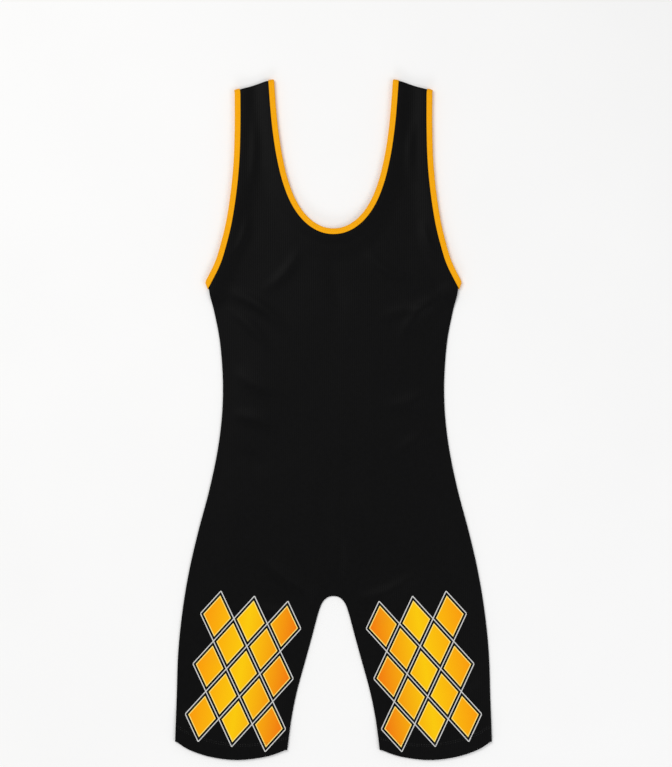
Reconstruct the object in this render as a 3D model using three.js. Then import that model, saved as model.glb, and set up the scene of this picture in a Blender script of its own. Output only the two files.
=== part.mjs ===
// A sleeveless, one-piece wrestling singlet, laid flat on its front with the neck towards +Y.
// The back is up. Millimetres, +Z up, origin at the middle of the space it takes, at its underside.
// Left and right are the wearer's: the left armhole is at -X.

import * as THREE from 'three';

// Overall length, from the shoulder's top point to the lowest point of the hems
const LENGTH = 885;
const SHOULDER_Y = LENGTH / 2;

// Cloth and seams
const CLOTH = 1.1;
const BINDING_CLOTH = 1.0;
const BINDING_WIDTH = 7.4;
const SEAM_GAP = 0.3;
const HEM_DEPTH = 22;
const FRONT_NECK_EXTRA_DEPTH = 14;

// A binding folds over the cut edge of a panel: one layer of it above and one below.
// The cut edge stops short of the inside of the fold.
const BINDING_HALF = CLOTH / 2 + SEAM_GAP + BINDING_CLOTH;
const FOLD_SPACE = 0.9;
const CUT_EDGE_INSET = BINDING_CLOTH + SEAM_GAP + FOLD_SPACE;
const FOLD_SHOULDER = { across: 0.3, outShare: 0.65 };
const FOLD_CORNER = 1.2;

// Heights of the middle of the cloth above the surface that the singlet lies on
const FRONT_FLAT = CLOTH / 2;
const BACK_FLAT = 2.25;
const FRONT_BOUND = BINDING_HALF;
const BACK_BOUND = 3 * BINDING_HALF + SEAM_GAP;
const LAYER_GAP = 0.4;
const BACK_OVER_FRONT_BINDING = 2 * BINDING_HALF + LAYER_GAP + CLOTH / 2;
const BACK_OVER_HEM = 3.5 * CLOTH + LAYER_GAP;
const CROWN = 1.2;

// At the shoulders and underarms a binding turns from the back to the front
const TURN_RADIUS = (BACK_BOUND - FRONT_BOUND) / 2;
const TURN_AXIS_HEIGHT = (BACK_BOUND + FRONT_BOUND) / 2;
const TURN_DEPTH = TURN_RADIUS + BINDING_HALF;
const TURN_ANGLES = [Math.PI / 4, Math.PI / 2, (3 * Math.PI) / 4];

// How far from an edge the cloth keeps the height of that edge, and where it is flat again
const BOUND_ZONE = { near: 9.5, far: 32 };
const FRONT_BOUND_ZONE = { near: 9.5, far: 24 };
const UNDER_BINDING_ZONE = { near: 10, far: 30 };
const HEM_ZONE = { near: HEM_DEPTH + 3, far: 55 };
const HEM_END_ZONE = { near: 3, far: 12 };
const CROWN_ZONE = { near: 0, far: 45 };

// Outlines of the right half: half width from the centre line, drop below the shoulder's top
const BACK_NECK = [
  { half: 77.2, drop: 0 },
  { half: 74.1, drop: 42 },
  { half: 70.7, drop: 73 },
  { half: 66, drop: 102 },
  { half: 59, drop: 131 },
  { half: 48.9, drop: 157 },
  { half: 35, drop: 177.3 },
  { half: 18, drop: 190 },
  { half: 0, drop: 194 },
];
const ARMHOLE = [
  { half: 128.4, drop: 13.8 },
  { half: 128.3, drop: 60 },
  { half: 129.6, drop: 105 },
  { half: 133.4, drop: 146 },
  { half: 140, drop: 188 },
  { half: 149.5, drop: 224 },
  { half: 160.2, drop: 250 },
  { half: 167.4, drop: 268.2 },
];
const SHOULDER = [
  { half: 77.2, drop: 0 },
  { half: 87.4, drop: 1.2 },
  { half: 97.7, drop: 4.6 },
  { half: 107.9, drop: 8 },
  { half: 118.2, drop: 10.8 },
  { half: 128.4, drop: 13.8 },
];
const SIDE = [
  { half: 163.8, drop: 273.4 },
  { half: 155.2, drop: 302 },
  { half: 147.8, drop: 341 },
  { half: 144, drop: 390 },
  { half: 145, drop: 436 },
  { half: 151, drop: 484 },
  { half: 162, drop: 536 },
  { half: 175.9, drop: 588 },
  { half: 187.9, drop: 640 },
  { half: 196.5, drop: 692 },
  { half: 202, drop: 746 },
  { half: 204, drop: 804 },
  { half: 206, drop: 861 },
];
const INSEAM = [
  { half: 0, drop: 672 },
  { half: 8.5, drop: 674.2 },
  { half: 15.3, drop: 682 },
  { half: 20.6, drop: 697 },
  { half: 27.5, drop: 723 },
  { half: 36.3, drop: 755 },
  { half: 47.5, drop: 796 },
  { half: 54.9, drop: 833 },
  { half: 60, drop: 872 },
];
const HEM = [
  { half: 206, drop: 861 },
  { half: 189, drop: 871.5 },
  { half: 160, drop: 880.9 },
  { half: 124, drop: 885 },
  { half: 86, drop: 880.6 },
  { half: 60, drop: 872 },
];

// The grid of a panel: three blocks of rows for the right half, mirrored for the left
const CHEST_CENTRE_DROP = 300;
const HIP_CENTRE_DROP = 590;
const HIP_SIDE_DISTANCE = 372;
const ARMHOLE_ROWS = 11;
const TORSO_ROWS = 9;
const LEG_ROWS = 6;
const NECK_SHARE_OF_ARMHOLE_ROWS = 0.6;
const INSEAM_SHARE_OF_HIP_ROWS = 0.2;
const BOUND_COLUMNS = [CUT_EDGE_INSET, 5.2, 8.9];
const UNDERARM = { lastBoundRow: 12, cutRow: 4.3, inset: 8, columns: [0, 3, 6] };
const INNER_COLUMNS = [0, 5, 10];
const LEG_EDGE_COLUMN = 11;
const TORSO_COLUMNS = [0, 0.08, 0.25, 0.45, 0.65, 0.83, 1];
const MIDDLE_COLUMNS = [0.25, 0.5, 0.75];
const FIRST_ROW_BELOW_TURN = 4;
const HEM_STEP = 2;
const FOLD_ANGLES = [0, Math.PI / 4, Math.PI / 2];
const NECK_SECTIONS = 20;
const ARMHOLE_SECTIONS = 15;
const CURVE_SAMPLES = 90;
const TOLERANCE = 1e-6;
const KEY_STEP = 1e-3;

const BLACK_KNIT = { color: 0x050505, roughness: 0.6, metalness: 0 };
const GOLD_BINDING = { color: 0xf5ab0f, roughness: 0.7, metalness: 0 };

const BACK = 1;
const FRONT = -1;
const LEFT = 'left';
const RIGHT = 'right';

// A smooth outline through a table's rows. "mirror" names the end that lies on the centre line,
// where the curve goes on into the other half and is level.
function outline(rows, mirror = null) {
  const half = rows.map((row) => new THREE.Vector2(row.half, SHOULDER_Y - row.drop));
  const other = half.map((p) => new THREE.Vector2(-p.x, p.y)).reverse();
  if (mirror === 'end') {
    return part(new THREE.SplineCurve([...half, ...other.slice(1)]), 0, 0.5);
  }
  if (mirror === 'start') {
    return part(new THREE.SplineCurve([...other.slice(0, -1), ...half]), 0.5, 1);
  }
  return part(new THREE.SplineCurve(half), 0, 1);
}

// A stretch of a curve, measured by distance along it in millimetres
function part(curve, from, to) {
  curve.arcLengthDivisions = 800;
  const whole = curve.getLength();
  const length = whole * (to - from);
  const along = (distance) => THREE.MathUtils.clamp(from + distance / whole, from, to);
  const onCentre = (distance) =>
    (from > 0 && distance < TOLERANCE) || (to < 1 && distance > length - TOLERANCE);
  const point = (distance) => {
    const p = curve.getPointAt(along(distance));
    return onCentre(distance) ? new THREE.Vector2(0, p.y) : p;
  };
  const tangent = (distance) => {
    const t = curve.getTangentAt(along(distance));
    return onCentre(distance) ? new THREE.Vector2(Math.sign(t.x), 0) : t;
  };
  const samples = [];
  for (let i = 0; i <= CURVE_SAMPLES; i += 1) {
    samples.push(point((length * i) / CURVE_SAMPLES));
  }
  return { length, point, tangent, samples };
}

function deeper(rows, extra) {
  const depth = rows[rows.length - 1].drop;
  return rows.map((row) => ({ half: row.half, drop: (row.drop * (depth + extra)) / depth }));
}

const backNeck = outline(BACK_NECK, 'end');
const frontNeck = outline(deeper(BACK_NECK, FRONT_NECK_EXTRA_DEPTH), 'end');
const armhole = outline(ARMHOLE);
const shoulder = outline(SHOULDER);
const side = outline(SIDE);
const inseam = outline(INSEAM, 'start');
const hem = outline(HEM);

// Directions in the plan, turned a quarter from an outline's own direction
const toLeft = (t) => new THREE.Vector2(-t.y, t.x);
const toRight = (t) => new THREE.Vector2(t.y, -t.x);
const neckIntoCloth = (neck, distance) => toLeft(neck.tangent(distance));
const armholeIntoCloth = (distance) => toRight(armhole.tangent(distance));
const sideOutward = (distance) => toLeft(side.tangent(distance));
const inseamOutward = (distance) => toRight(inseam.tangent(distance));
const shoulderOutward = (distance) => toLeft(shoulder.tangent(distance));

function moved(point, direction, distance) {
  return point.clone().addScaledVector(direction, distance);
}

function distanceTo(line, point) {
  let nearest = Infinity;
  const at = new THREE.Vector2(Math.abs(point.x), point.y);
  for (let i = 0; i < line.samples.length - 1; i += 1) {
    const start = line.samples[i];
    const span = line.samples[i + 1].clone().sub(start);
    const t = THREE.MathUtils.clamp(at.clone().sub(start).dot(span) / span.lengthSq(), 0, 1);
    nearest = Math.min(nearest, at.distanceTo(moved(start, span, t)));
  }
  return nearest;
}

// 1 close to an edge, 0 far from it, with a soft slope between
function near(distance, zone) {
  return 1 - THREE.MathUtils.smoothstep(distance, zone.near, zone.far);
}

function frontHeight(point) {
  const edge = Math.min(distanceTo(frontNeck, point), distanceTo(armhole, point));
  return THREE.MathUtils.lerp(FRONT_FLAT, FRONT_BOUND, near(edge, FRONT_BOUND_ZONE));
}

function backHeight(point) {
  const armholeEdge = distanceTo(armhole, point);
  const backEdge = Math.min(distanceTo(backNeck, point), armholeEdge);
  const frontEdge = Math.min(distanceTo(frontNeck, point), armholeEdge);
  const seam = Math.min(distanceTo(side, point), distanceTo(inseam, point));
  const flat = BACK_FLAT + CROWN * (1 - near(seam, CROWN_ZONE));
  const overHem = near(distanceTo(hem, point), HEM_ZONE) * (1 - near(seam, HEM_END_ZONE));
  return Math.max(
    THREE.MathUtils.lerp(flat, BACK_BOUND, near(backEdge, BOUND_ZONE)),
    THREE.MathUtils.lerp(flat, BACK_OVER_FRONT_BINDING, near(frontEdge, UNDER_BINDING_ZONE)),
    THREE.MathUtils.lerp(flat, BACK_OVER_HEM, overHem),
  );
}

// A point of a panel's middle surface: its place, the way the outer face looks, and how much
// thicker the wall is on the inside than plain cloth
function flatPoint(face, plan, turnedHem = false) {
  const height = face === BACK ? backHeight(plan) : frontHeight(plan);
  return {
    place: new THREE.Vector3(plan.x, plan.y, height),
    normal: new THREE.Vector3(0, 0, face),
    hem: turnedHem ? CLOTH : 0,
  };
}

// At a seam both panels turn towards each other round a small radius, and their cut edges meet
// half way up, a seam gap apart. "edge" is the outermost point of the fold.
function foldPoint(face, edge, outward, angle) {
  const front = frontHeight(edge);
  const back = backHeight(edge);
  const radius = (back - front - SEAM_GAP) / 2;
  const inset = radius + CLOTH / 2 - radius * Math.sin(angle);
  const plan = moved(edge, outward, -inset);
  const height = (back + front) / 2 + face * (SEAM_GAP / 2 + radius * Math.cos(angle));
  const x = Math.abs(plan.x) < TOLERANCE ? 0 : plan.x;
  return {
    place: new THREE.Vector3(x, plan.y, height),
    normal: new THREE.Vector3(
      outward.x * Math.sin(angle),
      outward.y * Math.sin(angle),
      face * Math.cos(angle),
    ),
    hem: 0,
  };
}

function foldRow(face, edge, outward) {
  return FOLD_ANGLES.map((angle) => foldPoint(face, edge, outward, angle));
}

const planOf = (point) => new THREE.Vector2(point.place.x, point.place.y);

// The points between the third column from each end of a row
function between(from, to, fractions) {
  return fractions.map((t) => from.clone().lerp(to, t));
}

// The upper block: rows from the armhole, and then from the chest line, to the neck
function upperBlock(face, chestRow) {
  const neck = face === BACK ? backNeck : frontNeck;
  const rows = [];
  const addRow = (outerPoints, innerPoints, firstPoint = null) => {
    const middle = between(outerPoints[2], innerPoints[2], MIDDLE_COLUMNS);
    const plan = [...outerPoints, ...middle, ...[...innerPoints].reverse()];
    const row = plan.map((p) => flatPoint(face, p));
    if (firstPoint) {
      row[0] = firstPoint;
    }
    rows.push(row);
  };
  const firstRow = TURN_DEPTH + FIRST_ROW_BELOW_TURN;
  const boundPoints = (line, distance, intoCloth) =>
    BOUND_COLUMNS.map((inset) => moved(line.point(distance), intoCloth, inset));
  const neckPoints = (onNeck) => boundPoints(neck, onNeck, neckIntoCloth(neck, onNeck));
  const towardsNeck = (start, innerPoints, columns) => {
    const direction = innerPoints[2].clone().sub(start).normalize();
    return columns.map((step) => moved(start, direction, step));
  };
  const lastBoundRow = armhole.length - UNDERARM.lastBoundRow;
  const neckEnd = neck.length * NECK_SHARE_OF_ARMHOLE_ROWS;
  for (let i = 0; i < ARMHOLE_ROWS; i += 1) {
    const onArmhole = THREE.MathUtils.lerp(firstRow, lastBoundRow, i / (ARMHOLE_ROWS - 1));
    const onNeck = THREE.MathUtils.lerp(firstRow, neckEnd, i / ARMHOLE_ROWS);
    const armholePoints = boundPoints(armhole, onArmhole, armholeIntoCloth(onArmhole));
    addRow(armholePoints, neckPoints(onNeck));
  }
  const cutRow = armhole.length - UNDERARM.cutRow;
  const cutStart = moved(armhole.point(cutRow), armholeIntoCloth(cutRow), UNDERARM.inset);
  const cutEnd = neckPoints(neckEnd);
  addRow(towardsNeck(cutStart, cutEnd, UNDERARM.columns), cutEnd);
  chestRow.forEach((chestPoint, i) => {
    const share = (i + 1) / chestRow.length;
    const innerPoints = neckPoints(THREE.MathUtils.lerp(neckEnd, neck.length, share));
    const outerPoints = towardsNeck(planOf(chestPoint), innerPoints, INNER_COLUMNS);
    addRow(outerPoints, innerPoints, chestPoint);
  });
  return rows;
}

// The shoulder fold: three rows across the strap, the last of them flat
function shoulderRows(face) {
  const width = shoulder.length;
  const outer = BOUND_COLUMNS.map((inset) => width - inset);
  const inner = [...BOUND_COLUMNS].reverse();
  const middle = MIDDLE_COLUMNS.map((t) => THREE.MathUtils.lerp(outer[2], inner[0], t));
  const columns = [...outer, ...middle, ...inner].map((distance) => {
    const outward = shoulderOutward(distance);
    const clothEdge = moved(shoulder.point(distance), outward, -BINDING_CLOTH - SEAM_GAP);
    return foldRow(face, clothEdge, outward);
  });
  return [2, 1, 0].map((i) => columns.map((column) => column[i]));
}

// The torso block: rows from the side seam to the centre line
function torsoBlock(face) {
  const rows = [];
  for (let i = 0; i <= TORSO_ROWS; i += 1) {
    const share = i / TORSO_ROWS;
    const onSide = HIP_SIDE_DISTANCE * share;
    const start = foldPoint(face, side.point(onSide), sideOutward(onSide), 0);
    const drop = THREE.MathUtils.lerp(CHEST_CENTRE_DROP, HIP_CENTRE_DROP, share);
    const centre = new THREE.Vector2(0, SHOULDER_Y - drop);
    const plan = between(planOf(start), centre, TORSO_COLUMNS);
    rows.push([start, ...plan.slice(1).map((p) => flatPoint(face, p))]);
  }
  return rows;
}

// The leg block: rows from the hip line, and then from the side seam, to the inseam
function legBlock(face, hipRow) {
  const rows = [];
  const hemChord = (t) => hem.point(0).lerp(hem.point(hem.length), t);
  const addRow = (start, onInseam, bow, turnedHem) => {
    const end = foldPoint(face, inseam.point(onInseam), inseamOutward(onInseam), 0);
    const from = planOf(start);
    const to = planOf(end);
    const step = LEG_EDGE_COLUMN / from.distanceTo(to);
    const inner = MIDDLE_COLUMNS.map((t) => THREE.MathUtils.lerp(step, 1 - step, t));
    const middle = [step, ...inner, 1 - step].map((t) => {
      const sag = hem.point(hem.length * t).sub(hemChord(t)).multiplyScalar(bow);
      return flatPoint(face, from.clone().lerp(to, t).add(sag), turnedHem);
    });
    rows.push([start, ...middle, end]);
  };
  const hipEnd = inseam.length * INSEAM_SHARE_OF_HIP_ROWS;
  const hipPoints = [...hipRow].reverse();
  hipPoints.forEach((point, i) => {
    addRow(point, (hipEnd * i) / (hipPoints.length - 1), 0, false);
  });
  const sideLeft = side.length - HIP_SIDE_DISTANCE;
  const inseamLeft = inseam.length - hipEnd;
  const stations = [];
  for (let i = 1; i <= LEG_ROWS; i += 1) {
    const share = i / LEG_ROWS;
    stations.push({
      sideToHem: THREE.MathUtils.lerp(sideLeft, HEM_DEPTH + HEM_STEP, share),
      inseamToHem: THREE.MathUtils.lerp(inseamLeft, HEM_DEPTH + HEM_STEP, share),
      bow: share,
      turnedHem: false,
    });
  }
  stations.push({ sideToHem: HEM_DEPTH, inseamToHem: HEM_DEPTH, bow: 1, turnedHem: true });
  stations.push({ sideToHem: 0, inseamToHem: 0, bow: 1, turnedHem: true });
  const sideStations = [HIP_SIDE_DISTANCE];
  stations.forEach((station) => {
    const onSide = side.length - station.sideToHem;
    sideStations.push(onSide);
    const start = foldPoint(face, side.point(onSide), sideOutward(onSide), 0);
    addRow(start, inseam.length - station.inseamToHem, station.bow, station.turnedHem);
  });
  const inseamStations = [
    ...hipPoints.map((point, i) => (hipEnd * i) / (hipPoints.length - 1)),
    ...stations.map((station) => inseam.length - station.inseamToHem),
  ];
  return { rows, sideStations, inseamStations };
}

// A closed wall from blocks of points: outer face, inner face, and a rim along every free edge
class Sheet {
  constructor() {
    this.points = [];
    this.index = new Map();
    this.triangles = [];
  }

  vertex(point, mirror) {
    const place = point.place.clone().setX(point.place.x * mirror);
    const key = place.toArray().map((v) => Math.round(v / KEY_STEP)).join(' ');
    if (!this.index.has(key)) {
      const normal = point.normal.clone().setX(point.normal.x * mirror);
      this.index.set(key, this.points.length);
      this.points.push({ place, normal, hem: point.hem });
    }
    return this.index.get(key);
  }

  triangle(a, b, c) {
    if (a === b || b === c || a === c) {
      return;
    }
    const [p, q, r] = [a, b, c].map((i) => this.points[i].place);
    const facing = q.clone().sub(p).cross(r.clone().sub(p));
    const wanted = new THREE.Vector3();
    [a, b, c].forEach((i) => wanted.add(this.points[i].normal));
    this.triangles.push(facing.dot(wanted) > 0 ? [a, b, c] : [a, c, b]);
  }

  block(rows) {
    for (const mirror of [1, -1]) {
      for (let r = 0; r < rows.length - 1; r += 1) {
        for (let c = 0; c < rows[r].length - 1; c += 1) {
          const corners = [rows[r][c], rows[r + 1][c], rows[r + 1][c + 1], rows[r][c + 1]];
          const [i, j, k, l] = corners.map((point) => this.vertex(point, mirror));
          this.triangle(i, j, k);
          this.triangle(i, k, l);
        }
      }
    }
  }

  geometry() {
    const count = this.points.length;
    const outer = this.points.map((p) => p.place.clone().addScaledVector(p.normal, CLOTH / 2));
    const inner = this.points.map((p) =>
      p.place.clone().addScaledVector(p.normal, -CLOTH / 2 - p.hem));
    const edges = new Set();
    this.triangles.forEach(([a, b, c]) => {
      [[a, b], [b, c], [c, a]].forEach(([from, to]) => edges.add(`${from} ${to}`));
    });
    const faces = [];
    this.triangles.forEach(([a, b, c]) => {
      faces.push([a, b, c], [a + count, c + count, b + count]);
      [[a, b], [b, c], [c, a]].forEach(([from, to]) => {
        if (!edges.has(`${to} ${from}`)) {
          faces.push([to, from, from + count], [to, from + count, to + count]);
        }
      });
    });
    return indexed([...outer, ...inner], faces);
  }
}

function indexed(points, faces) {
  const geometry = new THREE.BufferGeometry();
  const positions = points.flatMap((p) => [p.x, p.y, p.z]);
  geometry.setAttribute('position', new THREE.Float32BufferAttribute(positions, 3));
  geometry.setIndex(faces.flat());
  geometry.computeVertexNormals();
  return geometry;
}

function panelGeometry(face) {
  const sheet = new Sheet();
  const torso = torsoBlock(face);
  const strapTop = shoulderRows(face);
  const upper = upperBlock(face, torso[0]);
  const leg = legBlock(face, torso[torso.length - 1]);
  sheet.block([...strapTop, ...upper]);
  sheet.block(torso);
  sheet.block(leg.rows);
  const torsoStations = torso.map((row, i) => (HIP_SIDE_DISTANCE * i) / TORSO_ROWS);
  const sideStations = [...torsoStations, ...leg.sideStations.slice(1)];
  sheet.block(sideStations.map((d) => foldRow(face, side.point(d), sideOutward(d))));
  sheet.block(leg.inseamStations.map((d) => foldRow(face, inseam.point(d), inseamOutward(d))));
  return sheet.geometry();
}

// The section of a fold-over binding: "across" runs from the fold to the sewn edge, "out" from
// the inside of the garment to its outside
const BINDING_SECTION = [
  { across: BINDING_WIDTH, out: BINDING_HALF },
  { across: FOLD_CORNER, out: BINDING_HALF },
  { across: FOLD_SHOULDER.across, out: FOLD_SHOULDER.outShare * BINDING_HALF },
  { across: 0, out: 0 },
  { across: FOLD_SHOULDER.across, out: -FOLD_SHOULDER.outShare * BINDING_HALF },
  { across: FOLD_CORNER, out: -BINDING_HALF },
  { across: BINDING_WIDTH, out: -BINDING_HALF },
  { across: BINDING_WIDTH, out: BINDING_CLOTH - BINDING_HALF },
  { across: BINDING_CLOTH, out: BINDING_CLOTH - BINDING_HALF },
  { across: BINDING_CLOTH, out: BINDING_HALF - BINDING_CLOTH },
  { across: BINDING_WIDTH, out: BINDING_HALF - BINDING_CLOTH },
];

function flatSection(face, plan, across) {
  return {
    place: new THREE.Vector3(plan.x, plan.y, face === BACK ? BACK_BOUND : FRONT_BOUND),
    across: new THREE.Vector3(across.x, across.y, 0),
    out: new THREE.Vector3(0, 0, face),
  };
}

// The turn from the back to the front, about an axis along "across" through the plan point
function turnSection(plan, across, outward, angle) {
  const out = new THREE.Vector3(outward.x, outward.y, 0).multiplyScalar(Math.sin(angle));
  out.z = Math.cos(angle);
  return {
    place: new THREE.Vector3(plan.x, plan.y, TURN_AXIS_HEIGHT).addScaledVector(out, TURN_RADIUS),
    across: new THREE.Vector3(across.x, across.y, 0),
    out,
  };
}

function turn(plan, across, outward) {
  const sections = TURN_ANGLES.map((angle) => turnSection(plan, across, outward, angle));
  return [flatSection(BACK, plan, across), ...sections, flatSection(FRONT, plan, across)];
}

function mirrored(section) {
  const flip = (v) => new THREE.Vector3(-v.x, v.y, v.z);
  return { place: flip(section.place), across: flip(section.across), out: flip(section.out) };
}

// A closed loop of sections joined into one tube
function loopGeometry(sections) {
  const ring = BINDING_SECTION.length;
  const points = sections.flatMap((section) => BINDING_SECTION.map((corner) =>
    section.place.clone()
      .addScaledVector(section.across, corner.across)
      .addScaledVector(section.out, corner.out)));
  const faces = [];
  sections.forEach((section, i) => {
    const here = i * ring;
    const next = ((i + 1) % sections.length) * ring;
    for (let k = 0; k < ring; k += 1) {
      const l = (k + 1) % ring;
      faces.push([here + k, next + k, next + l], [here + k, next + l, here + l]);
    }
  });
  const geometry = indexed(points, faces);
  return signedVolume(points, faces) > 0 ? geometry : indexed(points, faces.map(reversed));
}

const reversed = ([a, b, c]) => [a, c, b];

function signedVolume(points, faces) {
  return faces.reduce((sum, [a, b, c]) =>
    sum + points[a].dot(points[b].clone().cross(points[c])), 0);
}

function neckBinding() {
  const branch = (face, neck) => {
    const sections = [];
    for (let i = 1; i <= NECK_SECTIONS; i += 1) {
      const first = TURN_DEPTH;
      const distance = THREE.MathUtils.lerp(first, neck.length, i / NECK_SECTIONS);
      sections.push(flatSection(face, neck.point(distance), neckIntoCloth(neck, distance)));
    }
    return sections;
  };
  const back = branch(BACK, backNeck);
  const front = branch(FRONT, frontNeck);
  const across = shoulder.tangent(0);
  const start = backNeck.point(TURN_DEPTH);
  const rightTurn = turn(start, across, shoulderOutward(0));
  const leftBack = back.slice(0, -1).map(mirrored).reverse();
  const leftFront = front.slice(0, -1).map(mirrored);
  return loopGeometry([
    ...back,
    ...leftBack,
    ...rightTurn.map(mirrored),
    ...leftFront,
    ...[...front].reverse(),
    ...[...rightTurn].reverse(),
  ]);
}

function armholeBinding(sideOfBody) {
  const shoulderAcross = shoulder.tangent(shoulder.length).negate();
  const top = armhole.point(TURN_DEPTH);
  const bottom = armhole.point(armhole.length - TURN_DEPTH);
  const branch = (face) => {
    const sections = [];
    for (let i = 1; i < ARMHOLE_SECTIONS; i += 1) {
      const last = armhole.length - TURN_DEPTH;
      const distance = THREE.MathUtils.lerp(TURN_DEPTH, last, i / ARMHOLE_SECTIONS);
      sections.push(flatSection(face, armhole.point(distance), armholeIntoCloth(distance)));
    }
    return sections;
  };
  const sections = [
    ...branch(BACK),
    ...turn(bottom, armholeIntoCloth(armhole.length), armhole.tangent(armhole.length)),
    ...branch(FRONT).reverse(),
    ...turn(top, shoulderAcross, shoulderOutward(shoulder.length)).reverse(),
  ];
  return loopGeometry(sideOfBody === LEFT ? sections.map(mirrored) : sections);
}

function piece(name, geometry, finish) {
  const mesh = new THREE.Mesh(geometry, new THREE.MeshStandardMaterial(finish));
  mesh.name = name;
  return mesh;
}

const singlet = new THREE.Group();
singlet.add(
  piece('back_panel', panelGeometry(BACK), BLACK_KNIT),
  piece('front_panel', panelGeometry(FRONT), BLACK_KNIT),
  piece('neck_binding', neckBinding(), GOLD_BINDING),
  piece('armhole_binding_left', armholeBinding(LEFT), GOLD_BINDING),
  piece('armhole_binding_right', armholeBinding(RIGHT), GOLD_BINDING),
);

export default singlet;
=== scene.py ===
"""A sleeveless wrestling singlet laid flat on its front, back up, seen from straight above.

Metres, +Y towards the neck, +X towards the wearer's right, +Z up. The outlines and heights are those
of the solids, and the cloth, bindings, hems and stitches are modelled on them at the cloth's thickness.
"""
import math
from bisect import bisect_left
from collections import namedtuple

import bmesh
import bpy
from mathutils import Matrix, Vector, kdtree, noise


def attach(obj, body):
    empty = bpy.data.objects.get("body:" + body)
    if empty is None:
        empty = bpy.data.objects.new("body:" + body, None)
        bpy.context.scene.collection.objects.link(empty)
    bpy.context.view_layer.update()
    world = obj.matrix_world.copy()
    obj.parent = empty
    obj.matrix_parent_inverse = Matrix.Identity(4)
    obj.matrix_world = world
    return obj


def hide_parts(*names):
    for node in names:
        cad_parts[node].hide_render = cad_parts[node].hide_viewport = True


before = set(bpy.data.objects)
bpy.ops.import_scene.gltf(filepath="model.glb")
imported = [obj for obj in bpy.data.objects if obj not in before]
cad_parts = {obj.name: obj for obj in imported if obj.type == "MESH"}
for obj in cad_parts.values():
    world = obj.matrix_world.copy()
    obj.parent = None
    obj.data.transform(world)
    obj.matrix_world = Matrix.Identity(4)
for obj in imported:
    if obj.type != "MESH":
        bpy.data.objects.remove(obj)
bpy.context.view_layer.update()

MM = 0.001
BACK, FRONT = 1, -1

# Sizes of the garment
LENGTH = 885 * MM
SHOULDER_Y = LENGTH / 2
KNIT = 0.8 * MM
BINDING_CLOTH = 0.8 * MM
BINDING_WIDTH = 7.4 * MM
BINDING_HALF = 1.85 * MM
CUT_EDGE_INSET = 2.2 * MM
SEAM_GAP = 0.3 * MM
HEM_DEPTH = 22 * MM
HEM_TURN_RADIUS = 0.55 * MM
HEM_EDGE = HEM_TURN_RADIUS + KNIT / 2

# Heights of the middle of the cloth above the surface that the singlet lies on
FRONT_FLAT = 0.56 * MM
BACK_FLAT = 2.4 * MM
FRONT_BOUND = BINDING_HALF
BACK_BOUND = 5.85 * MM
BACK_OVER_FRONT_BINDING = 4.7 * MM
BACK_OVER_HEM = 4.2 * MM
CROWN = 1.1 * MM

# How far from an edge the cloth keeps the height of that edge, and where it is flat again
Zone = namedtuple("Zone", "near far")
BOUND_ZONE = Zone(8 * MM, 34 * MM)
FRONT_BOUND_ZONE = Zone(8 * MM, 24 * MM)
UNDER_BINDING_ZONE = Zone(9 * MM, 32 * MM)
HEM_ZONE = Zone(HEM_DEPTH, 52 * MM)
CROWN_ZONE = Zone(0, 45 * MM)
CREASE_EDGE_ZONE = Zone(7 * MM, 26 * MM)

# How sharply the nearer of two edges rules the height between them
CORNER_POWER = 4

# Outlines of the right half, in millimetres: half width from the centre line, drop below the
# shoulder's top. The front's neck is the back's, stretched down by an extra depth
Row = namedtuple("Row", "half drop")
BACK_NECK = [
    Row(77.2, 0), Row(74.1, 42), Row(70.7, 73), Row(66, 102), Row(59, 131),
    Row(48.9, 157), Row(35, 177.3), Row(18, 190), Row(0, 194),
]
FRONT_NECK_EXTRA_DEPTH = 14
ARMHOLE = [
    Row(128.4, 13.8), Row(128.3, 60), Row(129.6, 105), Row(133.4, 146),
    Row(140, 188), Row(149.2, 224), Row(155.4, 241.4), Row(164.7, 259.8),
]
SHOULDER = [
    Row(77.2, 0), Row(87.4, 1.2), Row(97.7, 4.6), Row(107.9, 8), Row(118.2, 10.8), Row(128.4, 13.8),
]
SIDE = [
    Row(165, 265.5), Row(163.45, 269.46), Row(161.9, 273.4), Row(160.3, 283), Row(155.2, 302),
    Row(147.8, 341), Row(144, 390), Row(145, 436), Row(151, 484), Row(162, 536), Row(175.9, 588),
    Row(187.9, 640), Row(196.5, 692), Row(202, 746), Row(204, 804), Row(206, 861),
]
INSEAM = [
    Row(0, 672), Row(8.5, 674.2), Row(15.3, 682), Row(20.6, 697), Row(27.5, 723),
    Row(36.3, 755), Row(47.5, 796), Row(54.9, 833), Row(60, 872),
]
HEM = [
    Row(206, 861), Row(189, 871.5), Row(160, 880.9), Row(124, 885), Row(86, 880.6), Row(60, 872),
]

# Drops on the centre line, in millimetres, where the panels' upper block meets the torso's, and the
# torso's meets the legs'
CHEST_CENTRE_DROP = 300
HIP_CENTRE_DROP = 590

# The panels' grids: three blocks for the right half, with about 4 mm between lines, and how close
# two points are to be merged
HIP_SIDE_DISTANCE = 380 * MM
ARMHOLE_ROWS = 60
BODY_COLUMNS = 40
STRAP_COLUMNS = 40
TORSO_ROWS = 90
LEG_COLUMNS = 36
LEG_ROWS = 52
HEM_TURN_ROWS = 4
HEM_INSIDE_ROWS = 5
FOLD_ROWS = 5
FIRST_ROW_BELOW_SHOULDER = 5 * MM
LAST_ROW_ABOVE_UNDERARM = 3 * MM
PANEL_WELD = 0.02 * MM

# Shares of the neck beside the armhole's rows, of the inseam beside the hips' rows, and of a leg's
# width that the turned hem leaves free at each end
NECK_SHARE_OF_ARMHOLE_ROWS = 0.6
INSEAM_SHARE_OF_HIP_ROWS = 0.2
HEM_END_SPACE = 0.015

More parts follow.
